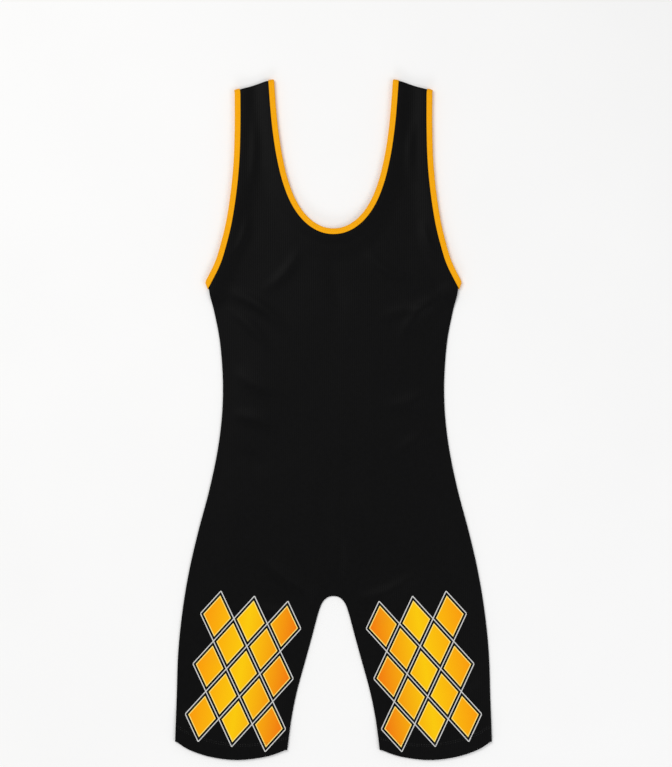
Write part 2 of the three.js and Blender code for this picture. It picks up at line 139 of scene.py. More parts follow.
# Where a binding goes over an edge of the garment, from its back to its front
TURN_RADIUS = (BACK_BOUND - FRONT_BOUND) / 2
TURN_HEIGHT = (BACK_BOUND + FRONT_BOUND) / 2
TURN_DEPTH = TURN_RADIUS + BINDING_HALF
TURN_STEPS = 8

# At the underarm the binding slants until it ends along the side seam, whose top is inside it: over
# what length it slants, how far inside the cloth's edge then is, how far down the seam the binding
# slides as it goes round, and how far down the seam the cloth's height follows the armhole's
SLANT_ZONE = Zone(0, 22 * MM)
UNDERARM_INSET = 3.9 * MM
UNDERARM_SLIDE = 3.2 * MM
UNDERARM_REACH = 3 * MM

# Soft creases of the upper side, in millimetres: where each starts and ends, how far its middle
# bows to its left, its half width, and its height (a trough is negative)
Crease = namedtuple("Crease", "x0 y0 x1 y1 bow width height")
CREASES = [
    Crease(-150, 170, -58, 112, 10, 8, 2.2),
    Crease(-146, 148, -80, 84, 8, 7, 1.4),
    Crease(151, 168, 84, 100, -9, 8, 2.0),
    Crease(147, 144, 54, 130, -7, 7, 1.5),
    Crease(-138, 72, -62, 34, -7, 9, 1.7),
    Crease(139, 44, 58, 18, 8, 9, 1.9),
    Crease(-139, 8, -70, -14, 5, 8, 1.5),
    Crease(140, -16, 76, -48, -5, 8, 1.5),
    Crease(-132, -40, -84, -72, 4, 10, -0.8),
    Crease(-42, 226, -96, 164, 7, 7, 1.5),
    Crease(38, 226, 100, 182, -8, 7, 1.4),
    Crease(-10, 214, 8, 118, 6, 11, -0.9),
    Crease(-12, -230, -100, -168, 10, 8, 2.2),
    Crease(14, -234, 122, -190, -12, 9, 2.1),
    Crease(-26, -252, -124, -234, 8, 7, 1.5),
    Crease(22, -262, 98, -258, -7, 7, 1.4),
    Crease(4, -222, -8, -104, -8, 9, 1.9),
    Crease(36, -120, 20, -30, 6, 14, -0.8),
    Crease(-198, -300, -112, -324, -7, 9, 1.5),
    Crease(200, -334, 122, -352, 6, 8, 1.4),
    Crease(-46, -350, -120, -388, 7, 7, 1.4),
    Crease(50, -338, 112, -384, -8, 8, 1.6),
    Crease(-106, 404, -110, 296, 5, 7, 1.2),
    Crease(106, 392, 102, 306, -5, 6, 1.1),
    Crease(-110, 272, -134, 206, 5, 7, 1.4),
    Crease(116, 266, 138, 200, -5, 7, 1.4),
]
CREASE_TAPER = 1.5

# Slow waves and small ripples of the whole upper side
ROLL_SIZE = 95 * MM
ROLL_HEIGHT = 0.9 * MM
RIPPLE_SIZE = 26 * MM
RIPPLE_HEIGHT = 0.22 * MM

# The print on each leg: a lattice of diamonds that stands along the leg
DIAMOND = {"width": 44 * MM, "height": 66 * MM}
LATTICE_CENTRE = Vector((117.5 * MM, -327 * MM))
LATTICE_TILT = math.radians(8.6)

# From a diamond's edge inwards: half of the silver line, then black, then gold with a pale edge, and
# a distance past the middle of any diamond
SILVER_LINE = 0.65 * MM
GOLD_FROM = 3.3 * MM
PALE_EDGE = 1.1 * MM
PAST_MIDDLE = 1

# In cells of one diamond each: how far the lattice and the ramp of its colours reach from its middle,
# half a cell, and the share of the ramp at which yellow comes
LATTICE_REACH = 2.5
RAMP_REACH = 3
HALF_CELL = 0.5
YELLOW_SHARE = 0.52

# The bindings' cloth, measured in from its fold: pinched along two rows of stitches, and rolled in at
# its sewn edges
STITCH_ROWS = [2.7 * MM, 5.7 * MM]
STITCH_PINCH = 0.28 * MM
PINCH_WIDTH = 0.75 * MM
EDGE_ROLL = 0.3 * MM
EDGE_ROLL_WIDTH = 0.6 * MM
FOLD_DEPTH = 1.5 * MM
SECTION_COLUMNS = 30
FOLD_SHARE = 0.24
BINDING_STEP = 2.6 * MM
PUCKER_SIZE = 9 * MM
PUCKER_HEIGHT = 0.2 * MM
BINDING_WELD = 0.01 * MM

# Stitches: short threads that lie in the bindings' pinched rows, and in rows above the hems' edges
STITCH_LENGTH = 2.5 * MM
STITCH_PITCH = 3.1 * MM
THREAD_HALF = 0.22 * MM
HEM_STITCH_ROWS = [18.5 * MM, 21 * MM]
HEM_THREAD_SINK = 0.35 * THREAD_HALF

# Sizes of the materials' patterns, and how deep their relief is
WALE = 2.8 * MM
KNIT_MOTTLE = 5 * MM
KNIT_RELIEF = 0.3 * MM
RIB = 3.2 * MM
RIB_RELIEF = 0.3 * MM
DYE_MOTTLE = 7 * MM
TWIST = 0.9 * MM
TWIST_RELIEF = 0.1 * MM
FLOOR_MOTTLE = 1 / 6

# Sockets of the Mix node by number: its factor, two values and two colours, and the colour it gives
FACTOR, VALUE_A, VALUE_B, COLOUR_A, COLOUR_B = 0, 2, 3, 6, 7
MIXED_COLOUR = 2

# The camera looks straight down, as the garment is drawn: the column of the garment's centre line
# and the row of its middle give its place
IMAGE = {"width": 672, "height": 767}
MM_PER_PIXEL = 1.3
CENTRE_LINE_PIXEL = 333.5
MIDDLE_PIXEL = 419.65
LENS = 100
SENSOR = 36

# The floor, and soft lights that face the garment's middle: place, size, power and colour
FLOOR_HALF = 15
Light = namedtuple("Light", "name place size power colour")
LIGHTS = [
    Light("key_softbox", (-1.0, 1.0, 2.3), (1.2, 1.2), 28, "#FFFEFC"),
    Light("fill_softbox", (1.6, -0.7, 2.0), (1.6, 1.2), 15, "#FCFDFF"),
    Light("low_softbox", (-0.4, -2.6, 1.1), (1.6, 0.6), 16, "#FFFFFF"),
]
STUDIO_BRIGHTNESS = 0.47


def smooth(value, zone):
    """1 near an edge, 0 far from it."""
    t = min(max((value - zone.near) / (zone.far - zone.near), 0), 1)
    return 1 - t * t * (3 - 2 * t)


def mix(a, b, t):
    return a + (b - a) * t


def nearer(a, b):
    """The smaller of two distances, rounded off where they are alike."""
    return (max(a, MM) ** -CORNER_POWER + max(b, MM) ** -CORNER_POWER) ** (-1 / CORNER_POWER)


def running_lengths(points):
    """The distance along a chain of points to each of them."""
    lengths = [0.0]
    for a, b in zip(points, points[1:]):
        lengths.append(lengths[-1] + (b - a).length)
    return lengths


def locate(lengths, distance):
    """Which link of a chain a distance falls in, by the link's end, and the share of the way along it."""
    end = min(max(bisect_left(lengths, distance), 1), len(lengths) - 1)
    return end, (distance - lengths[end - 1]) / (lengths[end] - lengths[end - 1])


class Outline:
    """A smooth line, a Catmull-Rom spline, through a table's rows, measured by the distance along it."""

    SAMPLES = 30

    def __init__(self, rows, centre=None):
        knots = [Vector((row.half * MM, SHOULDER_Y - row.drop * MM)) for row in rows]
        self.centre = centre
        before = knots[1] * Vector((-1, 1)) if centre == "start" else knots[0]
        after = knots[-2] * Vector((-1, 1)) if centre == "end" else knots[-1]
        chain = [before, *knots, after]
        self.points = []
        for a, b, c, d in zip(chain, chain[1:], chain[2:], chain[3:]):
            for i in range(self.SAMPLES):
                t = i / self.SAMPLES
                self.points.append(0.5 * (
                    2 * b + (c - a) * t + (2 * a - 5 * b + 4 * c - d) * t ** 2
                    + (3 * b - a - 3 * c + d) * t ** 3
                ))
        self.points.append(knots[-1])
        self.lengths = running_lengths(self.points)
        self.length = self.lengths[-1]
        self.tree = kdtree.KDTree(int(self.length / MM) + 1)
        for i in range(int(self.length / MM) + 1):
            self.tree.insert(self.point(i * MM).to_3d(), i)
        self.tree.balance()

    def point(self, distance):
        """The point at a distance along the line."""
        distance = min(max(distance, 0), self.length)
        end, share = locate(self.lengths, distance)
        return self.points[end - 1].lerp(self.points[end], share)

    def tangent(self, distance):
        """The line's direction there, level where it crosses the centre line."""
        if self.centre == "start" and distance < MM:
            return Vector((1, 0))
        if self.centre == "end" and distance > self.length - MM:
            return Vector((-1, 0))
        return (self.point(distance + MM) - self.point(distance - MM)).normalized()

    def away(self, plan):
        """How far a point of the plan is from the line on its own side of the garment."""
        return self.tree.find((abs(plan.x), plan.y, 0))[2]


def deeper(rows, extra):
    """The same outline, stretched down so that it ends lower by an extra depth."""
    return [Row(row.half, row.drop * (rows[-1].drop + extra) / rows[-1].drop) for row in rows]


def to_left(direction):
    return Vector((-direction.y, direction.x))


def to_right(direction):
    return Vector((direction.y, -direction.x))


back_neck = Outline(BACK_NECK, centre="end")
front_neck = Outline(deeper(BACK_NECK, FRONT_NECK_EXTRA_DEPTH), centre="end")
armhole = Outline(ARMHOLE)
shoulder = Outline(SHOULDER)
side = Outline(SIDE)
inseam = Outline(INSEAM, centre="start")
hem = Outline(HEM)


def armhole_across(distance):
    """From the armhole's edge into the cloth, slanting towards the side seam at the underarm."""
    seam, last, along = side.tangent(0), armhole.tangent(armhole.length), armhole.tangent(distance)
    slant = seam.dot(last) / seam.dot(to_right(last))
    return to_right(along) + along * slant * smooth(armhole.length - distance, SLANT_ZONE)


def height(face, plan):
    """Height of the middle of a panel's cloth over a point of the plan."""
    under = Vector((abs(plan.x), plan.y)) - side.point(UNDERARM_REACH)
    arm = min(armhole.away(plan), under.length)
    front_edge = nearer(front_neck.away(plan), arm)
    if face == FRONT:
        return mix(FRONT_FLAT, FRONT_BOUND, smooth(front_edge, FRONT_BOUND_ZONE))
    back_edge = nearer(back_neck.away(plan), arm)
    seam = nearer(side.away(plan), inseam.away(plan))
    flat = BACK_FLAT + CROWN * (1 - smooth(seam, CROWN_ZONE))
    return max(
        mix(flat, BACK_BOUND, smooth(back_edge, BOUND_ZONE)),
        mix(flat, BACK_OVER_FRONT_BINDING, smooth(front_edge, UNDER_BINDING_ZONE)),
        mix(flat, BACK_OVER_HEM, smooth(hem.away(plan), HEM_ZONE)),
    )


def on_panel(face, plan):
    return Vector((plan.x, plan.y, height(face, plan)))


def on_fold(face, edge, outward, angle):
    """A point of the round fold that brings the two panels' edges together at a seam."""
    front, back = height(FRONT, edge), height(BACK, edge)
    radius = (back - front - SEAM_GAP) / 2
    plan = edge - outward * (radius + KNIT / 2 - radius * math.sin(angle))
    level = (back + front) / 2 + face * (SEAM_GAP / 2 + radius * math.cos(angle))
    return Vector((plan.x, plan.y, level))


def fold_angle(step):
    return math.pi / 2 * step / FOLD_ROWS


def side_fold(face, distance, angle=0):
    return on_fold(face, side.point(distance), to_left(side.tangent(distance)), angle)


def inseam_fold(face, distance, angle=0):
    place = on_fold(face, inseam.point(distance), to_right(inseam.tangent(distance)), angle)
    if distance == 0:
        place.x = 0
    return place


def shoulder_fold(face, share, angle=0):
    distance = mix(shoulder.length - CUT_EDGE_INSET, CUT_EDGE_INSET, share)
    outward = to_left(shoulder.tangent(distance))
    edge = shoulder.point(distance) - outward * (BINDING_HALF - KNIT / 2)
    return on_fold(face, edge, outward, angle)


def torso_place(face, column, row):
    """The block from the chest to the hips, from the side seam in to the centre line."""
    share = row / TORSO_ROWS
    start = side_fold(face, HIP_SIDE_DISTANCE * share)
    if column == 0:
        return start
    centre = Vector((0, SHOULDER_Y - mix(CHEST_CENTRE_DROP, HIP_CENTRE_DROP, share) * MM))
    return on_panel(face, start.to_2d().lerp(centre, column / BODY_COLUMNS))


def upper_place(face, column, row):
    """The block from the armhole, and then from the chest, in to the neck."""
    if row == 0:
        return shoulder_fold(face, column / STRAP_COLUMNS)
    neck = back_neck if face == BACK else front_neck
    neck_end = neck.length * NECK_SHARE_OF_ARMHOLE_ROWS
    first = TURN_DEPTH + FIRST_ROW_BELOW_SHOULDER
    if row <= ARMHOLE_ROWS:
        share = (row - 1) / (ARMHOLE_ROWS - 1)
        distance = mix(first, armhole.length - LAST_ROW_ABOVE_UNDERARM, share)
        inset = mix(CUT_EDGE_INSET, UNDERARM_INSET, smooth(armhole.length - distance, SLANT_ZONE))
        start = armhole.point(distance) + armhole_across(distance) * inset
        on_neck = mix(first, neck_end, row / (ARMHOLE_ROWS + 1))
    else:
        across = row - ARMHOLE_ROWS - 1
        torso = torso_place(face, across, 0)
        if column == 0:
            return torso
        start = torso.to_2d()
        on_neck = mix(neck_end, neck.length, across / BODY_COLUMNS)
    end = neck.point(on_neck) + to_left(neck.tangent(on_neck)) * CUT_EDGE_INSET
    if row == ARMHOLE_ROWS + 1 + BODY_COLUMNS:
        end.x = 0
    return on_panel(face, start.lerp(end, column / STRAP_COLUMNS))


def leg_station(row):
    """Distances along the side seam and the inseam of a row of the leg, and how far it bows."""
    hip_end = inseam.length * INSEAM_SHARE_OF_HIP_ROWS
    if row <= BODY_COLUMNS:
        return HIP_SIDE_DISTANCE, hip_end * row / BODY_COLUMNS, 0
    share = (row - BODY_COLUMNS) / LEG_ROWS
    return mix(HIP_SIDE_DISTANCE, side.length, share), mix(hip_end, inseam.length, share), share


def leg_place(face, column, row):
    """The block from the hips, and then from the side seam, in to the inseam, with the hem's turning."""
    inside = row - BODY_COLUMNS - LEG_ROWS
    if inside > 0:
        return hem_place(face, column, inside)
    on_side, on_inseam, bow = leg_station(row)
    if row < BODY_COLUMNS:
        start = torso_place(face, BODY_COLUMNS - row, TORSO_ROWS)
    else:
        start = side_fold(face, on_side)
    end = inseam_fold(face, on_inseam)
    if column == 0:
        return start
    if column == LEG_COLUMNS:
        return end
    share = column / LEG_COLUMNS
    sag = hem.point(hem.length * share) - hem.point(0).lerp(hem.point(hem.length), share)
    room_to_turn = Vector((0, HEM_EDGE))
    return on_panel(face, start.to_2d().lerp(end.to_2d(), share) + (sag + room_to_turn) * bow)


def hem_place(face, column, step):
    """The hem: the cloth turns round the edge and runs back up inside."""
    share = mix(HEM_END_SPACE, 1 - HEM_END_SPACE, column / LEG_COLUMNS)
    last_row = BODY_COLUMNS + LEG_ROWS
    edge = leg_place(face, LEG_COLUMNS * share, last_row)
    if step <= HEM_TURN_ROWS:
        angle = math.pi * step / HEM_TURN_ROWS
        drop = HEM_TURN_RADIUS * (1 - math.cos(angle))
        return edge + Vector((0, -HEM_TURN_RADIUS * math.sin(angle), -face * drop))
    up = HEM_DEPTH * (step - HEM_TURN_ROWS) / HEM_INSIDE_ROWS
    row = last_row - up / (side.length - HIP_SIDE_DISTANCE) * LEG_ROWS
    place = leg_place(face, LEG_COLUMNS * share, row)
    return place + Vector((0, 0, -2 * face * HEM_TURN_RADIUS))


def crease_height(plan):
    """How far the creases and the cloth's own slow waves lift a point of the upper side."""
    total = ROLL_HEIGHT * noise.noise(Vector((plan.x, plan.y, 0)) / ROLL_SIZE)
    total += RIPPLE_HEIGHT * noise.noise(Vector((plan.x, plan.y, MM)) / RIPPLE_SIZE)
    for crease in CREASES:
        start = Vector((crease.x0, crease.y0)) * MM
        run = Vector((crease.x1, crease.y1)) * MM - start
        share = (plan - start).dot(run) / run.length_squared
        if not 0 < share < 1:
            continue
        bowed = (plan - start).dot(to_left(run.normalized())) - crease.bow * MM * 4 * share * (1 - share)
        profile = math.exp(-((bowed / (crease.width * MM)) ** 2))
        total += crease.height * MM * profile * math.sin(math.pi * share) ** CREASE_TAPER
    return total


def crease_lift(plan):
    """The creases' height where the panel may lift, fading out towards its edges."""
    edge = min(line.away(plan) for line in (back_neck, armhole, side, inseam, hem))
    return crease_height(plan) * (1 - smooth(edge, CREASE_EDGE_ZONE))


def lattice_place(plan):
    """The lattice's two slanting coordinates: a diamond is one whole step of each."""
    offset = Vector((abs(plan.x), plan.y)) - LATTICE_CENTRE
    across = offset.x * math.cos(LATTICE_TILT) + offset.y * math.sin(LATTICE_TILT)
    up = offset.y * math.cos(LATTICE_TILT) - offset.x * math.sin(LATTICE_TILT)
    across /= DIAMOND["width"]
    up /= DIAMOND["height"]
    return across + up, across - up


def add_block(bm, columns, rows, place):
    """A grid whose points are moved to where place(column, row) says. A UV layer, where there is one,
    keeps the grid's own shares."""
    made = bmesh.ops.create_grid(bm, x_segments=columns, y_segments=rows, size=1, calc_uvs=True)
    for vert in made["verts"]:
        column = round((vert.co.x + 1) / 2 * columns)
        row = round((vert.co.y + 1) / 2 * rows)
        vert.co = place(column, row)


def finish_mesh(bm, name, materials):
    """Makes a piece of a bmesh, shaded smooth."""
    mesh = bpy.data.meshes.new(name)
    bm.to_mesh(mesh)
    bm.free()
    for polygon in mesh.polygons:
        polygon.use_smooth = True
    for material in materials:
        mesh.materials.append(material)
    piece = bpy.data.objects.new(name, mesh)
    bpy.context.scene.collection.objects.link(piece)
    return piece


def thicken(piece, thickness, inside_material=0):
    """Gives a piece's cloth its thickness, half of it to each side."""
    wall = piece.modifiers.new("wall", "SOLIDIFY")
    wall.thickness = thickness
    wall.offset = 0
    wall.use_even_offset = True
    wall.material_offset = inside_material
    wall.material_offset_rim = inside_material


def make_panel(face, name, materials):
    """A whole panel from shoulders to hems, in one cut, with its seams' edges and turned hems."""
    bm = bmesh.new()
    upper_rows = ARMHOLE_ROWS + 1 + BODY_COLUMNS
    leg_rows = BODY_COLUMNS + LEG_ROWS + HEM_TURN_ROWS + HEM_INSIDE_ROWS
    side_steps = [HIP_SIDE_DISTANCE * i / TORSO_ROWS for i in range(TORSO_ROWS)]
    side_steps += [leg_station(BODY_COLUMNS + i)[0] for i in range(LEG_ROWS + 1)]
    inseam_steps = [leg_station(row)[1] for row in range(BODY_COLUMNS + LEG_ROWS + 1)]
    add_block(bm, STRAP_COLUMNS, upper_rows, lambda c, r: upper_place(face, c, r))
    add_block(bm, BODY_COLUMNS, TORSO_ROWS, lambda c, r: torso_place(face, c, r))
    add_block(bm, LEG_COLUMNS, leg_rows, lambda c, r: leg_place(face, c, r))
    add_block(bm, FOLD_ROWS, STRAP_COLUMNS,
              lambda c, r: shoulder_fold(face, r / STRAP_COLUMNS, fold_angle(c)))
    add_block(bm, FOLD_ROWS, len(side_steps) - 1,
              lambda c, r: side_fold(face, side_steps[r], fold_angle(c)))
    add_block(bm, FOLD_ROWS, len(inseam_steps) - 1,
              lambda c, r: inseam_fold(face, inseam_steps[r], fold_angle(c)))
    bmesh.ops.remove_doubles(bm, verts=bm.verts, dist=PANEL_WELD)
    bmesh.ops.mirror(bm, geom=bm.verts[:] + bm.edges[:] + bm.faces[:], axis="X", merge_dist=PANEL_WELD)
    bmesh.ops.remove_doubles(bm, verts=bm.verts, dist=PANEL_WELD)
    bmesh.ops.recalc_face_normals(bm, faces=bm.faces)
    largest = max(bm.faces, key=lambda f: f.calc_area() * abs(f.normal.z))
    if largest.normal.z * face < 0:
        bmesh.ops.reverse_faces(bm, faces=bm.faces)
    if face == BACK:
        for vert in bm.verts:
            vert.co.z += crease_lift(vert.co.to_2d())
    prints = bm.loops.layers.uv.new("print")
    for bm_face in bm.faces:
        for loop in bm_face.loops:
            loop[prints].uv = lattice_place(loop.vert.co)
    piece = finish_mesh(bm, name, materials)
    thicken(piece, KNIT, inside_material=1)
    return piece


# A place on a binding's way round its opening, at its fold, with the directions across its strip and
# out of the garment
Station = namedtuple("Station", "place across out")


def binding_section(share):
    """Across and out of the binding's middle surface, for a share of the way from its upper sewn edge
    round the fold to its lower sewn edge."""
    half = BINDING_HALF - BINDING_CLOTH / 2
    turn_start, turn_end = 0.5 - FOLD_SHARE / 2, 0.5 + FOLD_SHARE / 2
    inner = BINDING_CLOTH / 2
    if turn_start < share < turn_end:
        angle = math.pi * (share - turn_start) / FOLD_SHARE
        return inner + FOLD_DEPTH * (1 - math.sin(angle)), half * math.cos(angle)
    level = 1 if share <= turn_start else -1
    from_edge = share / turn_start if level > 0 else (1 - share) / turn_start
    across = mix(BINDING_WIDTH, inner + FOLD_DEPTH, from_edge)
    out = half
    for row in STITCH_ROWS:
        out -= STITCH_PINCH * math.exp(-(((across - row) / PINCH_WIDTH) ** 2))
    out -= EDGE_ROLL * math.exp(-(((BINDING_WIDTH - across) / EDGE_ROLL_WIDTH) ** 2))
    return across, level * out


def flat_station(face, plan, across):
    """A station on the back or the front, where the binding lies level."""
    place = Vector((plan.x, plan.y, BACK_BOUND if face == BACK else FRONT_BOUND))
    return Station(place, across.to_3d(), Vector((0, 0, face)))


def turn_stations(plan, across, outward, slide=0):
    """The binding goes over an edge of the garment, from its back to its front. Half way round it
    has slid along the edge by a given distance."""
    stations = []
    for i in range(TURN_STEPS + 1):
        angle = math.pi * i / TURN_STEPS
        out = outward.to_3d() * math.sin(angle) + Vector((0, 0, math.cos(angle)))
        slid = plan + across.normalized() * slide * (1 - abs(2 * i / TURN_STEPS - 1))
        place = Vector((slid.x, slid.y, TURN_HEIGHT)) + out * TURN_RADIUS
        stations.append(Station(place, across.to_3d(), out))
    return stations


def mirrored(stations):
    flip = Vector((-1, 1, 1))
    return [Station(s.place * flip, s.across * flip, s.out * flip) for s in stations]


def line_stations(face, line, across, start, end):
    """Stations at an even pitch between two distances along an outline, without its ends."""
    count = round((end - start) / BINDING_STEP)
    distances = [mix(start, end, i / count) for i in range(1, count)]
    return [flat_station(face, line.point(d), across(d)) for d in distances]


def neck_stations():
    """Down the right of the back's neck and up its left, over the left shoulder, round the front's neck
    the other way, and over the right shoulder."""
    right = []
    for face, line in ((BACK, back_neck), (FRONT, front_neck)):
        branch = line_stations(face, line, lambda d: to_left(line.tangent(d)), TURN_DEPTH, line.length)
        bottom = flat_station(face, Vector((0, line.point(line.length).y)), Vector((0, -1)))
        right.append(branch + [bottom] + mirrored(branch)[::-1])
    back, front = right
    over = turn_stations(back_neck.point(TURN_DEPTH), shoulder.tangent(0), to_left(shoulder.tangent(0)))
    return back + mirrored(over) + front[::-1] + over[::-1]


def armhole_stations():
    """Down the back of the right armhole, over at the underarm, up its front, and over the shoulder."""
    end = armhole.length
    back = line_stations(BACK, armhole, armhole_across, TURN_DEPTH, end)
    front = line_stations(FRONT, armhole, armhole_across, TURN_DEPTH, end)
    seam = to_left(side.tangent(0))
    under = turn_stations(armhole.point(end), armhole_across(end), seam, UNDERARM_SLIDE)
    along = shoulder.tangent(shoulder.length)
    over = turn_stations(armhole.point(TURN_DEPTH), -along, to_left(along))
    return back + under + front[::-1] + over[::-1]


def make_binding(name, stations, material):
    """A strip of binding folded over a cut edge, all the way round its opening."""
    bm = bmesh.new()
    bm.loops.layers.uv.new("strip")
    rows = len(stations)

    def place(column, row):
        station = stations[row % rows]
        across, out = binding_section(column / SECTION_COLUMNS)
        pucker = PUCKER_HEIGHT * (1 + noise.noise(station.place / PUCKER_SIZE)) / 2
        return station.place + station.across * across + station.out * (out - math.copysign(pucker, out))

    add_block(bm, SECTION_COLUMNS, rows, place)
    bmesh.ops.remove_doubles(bm, verts=bm.verts, dist=BINDING_WELD)
    bmesh.ops.recalc_face_normals(bm, faces=bm.faces)
    piece = finish_mesh(bm, name, [material])
    thicken(piece, BINDING_CLOTH)
    return piece


def add_stitch(bm, place, along, out):
    """One thread, a long round bead that lies along its row."""
    across = along.cross(out).normalized()
    frame_of_stitch = Matrix((along, across, out)).transposed().to_4x4()
    size = Matrix.Diagonal((STITCH_LENGTH / 2, THREAD_HALF, THREAD_HALF, 1))
    bmesh.ops.create_icosphere(
        bm, subdivisions=1, radius=1, matrix=Matrix.Translation(place) @ frame_of_stitch @ size)


def add_stitch_line(bm, places, outs):
    """Stitches at an even pitch along a chain of places."""
    lengths = running_lengths(places)
    count = int(lengths[-1] / STITCH_PITCH)
    for i in range(count):
        end, share = locate(lengths, (i + 0.5) * lengths[-1] / count)
        out = outs[end - 1].lerp(outs[end], share).normalized()
        along = (places[end] - places[end - 1]).normalized()
        square_out = (out - along * out.dot(along)).normalized()
        add_stitch(bm, places[end - 1].lerp(places[end], share), along, square_out)


def make_binding_stitches(name, stations, material):
    """Two rows of stitches on the outer face of a binding, all the way round."""
    bm = bmesh.new()
    closed = stations + stations[:1]
    level = BINDING_HALF - STITCH_PINCH - PUCKER_HEIGHT / 2
    for row in STITCH_ROWS:
        places = [s.place + s.across * row + s.out * level for s in closed]
        add_stitch_line(bm, places, [s.out for s in closed])
    return finish_mesh(bm, name, [material])


def make_hem_stitches(face, name, material):
    """Two rows of stitches above the hem of each leg, on a panel's outer face."""
    bm = bmesh.new()
    for from_edge in HEM_STITCH_ROWS:
        row = BODY_COLUMNS + LEG_ROWS * (1 - from_edge / (side.length - HIP_SIDE_DISTANCE))
        for mirror in (1, -1):
            places = []
            for column in range(LEG_COLUMNS + 1):
                place = leg_place(face, column, row) * Vector((mirror, 1, 1))
                if face == BACK:
                    place.z += crease_lift(place.to_2d())
                place.z += face * (KNIT / 2 - HEM_THREAD_SINK)
                places.append(place)
            add_stitch_line(bm, places, [Vector((0, 0, face))] * len(places))
    return finish_mesh(bm, name, [material])


def linear(hex_colour):
    """An sRGB hex colour as linear red, green, blue and alpha."""
    channels = [int(hex_colour[i:i + 2], 16) / 255 for i in (1, 3, 5)]
    return (*[c / 12.92 if c <= 0.04045 else ((c + 0.055) / 1.055) ** 2.4 for c in channels], 1)


def add(tree, kind, inputs=(), **settings):
    """Adds a node. Settings are its properties, and inputs are pairs of socket and value or link."""
    made = tree.nodes.new(kind)
    for key, value in settings.items():
        setattr(made, key, value)
    for socket, value in inputs:
        if isinstance(value, bpy.types.NodeSocket):
            tree.links.new(value, made.inputs[socket])
        else:
            made.inputs[socket].default_value = value
    return made


def wave_scale(period):
    """The scale at which a wave texture's bands come once a period."""
    return math.tau / (20 * period)


def new_material(name):
    material = bpy.data.materials.new(name)
    material.use_nodes = True
    return material, material.node_tree, material.node_tree.nodes["Principled BSDF"]


def knit_surface(tree, shader):
    """Warp-knit nylon and elastane, smooth side out: fine upright wales that catch a soft sheen.
    Real wales are 0.5 mm apart, too fine to show from here, so they are drawn 2.8 mm apart."""
    place = add(tree, "ShaderNodeTexCoord").outputs["Object"]
    wales = add(tree, "ShaderNodeTexWave", [("Vector", place), ("Scale", wave_scale(WALE)),
                                            ("Distortion", 0.8), ("Detail", 2.0), ("Detail Scale", 1.5)],
                bands_direction="X")
    mottle = add(tree, "ShaderNodeTexNoise", [("Vector", place), ("Scale", 1 / KNIT_MOTTLE),
                                              ("Detail", 3.0)])
    relief = add(tree, "ShaderNodeMix", [(FACTOR, 0.45), (VALUE_A, wales.outputs["Fac"]),
                                         (VALUE_B, mottle.outputs["Fac"])])
    bump = add(tree, "ShaderNodeBump", [("Strength", 0.4), ("Distance", KNIT_RELIEF),
                                        ("Height", relief.outputs[0])])
    rough = add(tree, "ShaderNodeMapRange", [("Value", mottle.outputs["Fac"]),
                                             ("To Min", 0.42), ("To Max", 0.54)])
    tree.links.new(bump.outputs["Normal"], shader.inputs["Normal"])
    tree.links.new(rough.outputs["Result"], shader.inputs["Roughness"])
    shader.inputs["Specular IOR Level"].default_value = 0.07
    shader.inputs["Sheen Weight"].default_value = 0.008
    shader.inputs["Sheen Roughness"].default_value = 0.35
    return mottle


def knit_colour(tree, mottle):
    """Black that took the dye a little unevenly."""
    black = add(tree, "ShaderNodeMix", [(FACTOR, mottle.outputs["Fac"]), (COLOUR_A, linear("#040404")),
                                        (COLOUR_B, linear("#080809"))], data_type="RGBA")
    return black.outputs[MIXED_COLOUR]


def make_black_knit():
    material, tree, shader = new_material("black_warp_knit")
    mottle = knit_surface(tree, shader)
    tree.links.new(knit_colour(tree, mottle), shader.inputs["Base Color"])
    return material


def in_lattice(tree, cell):
    """1 in the diamonds that are printed: rows of three, two, three, two and three."""
    steps = add(tree, "ShaderNodeSeparateXYZ", [(0, cell)])
    tests = []
    for operation in ("ADD", "SUBTRACT"):
        along = add(tree, "ShaderNodeMath", [(0, steps.outputs[0]), (1, steps.outputs[1])],
                    operation=operation)
        far = add(tree, "ShaderNodeMath", [(0, along.outputs[0])], operation="ABSOLUTE")
        near = add(tree, "ShaderNodeMath", [(0, far.outputs[0]), (1, LATTICE_REACH)],
                   operation="LESS_THAN")
        tests.append(near.outputs[0])
    return add(tree, "ShaderNodeMath", [(0, tests[0]), (1, tests[1])], operation="MULTIPLY").outputs[0]


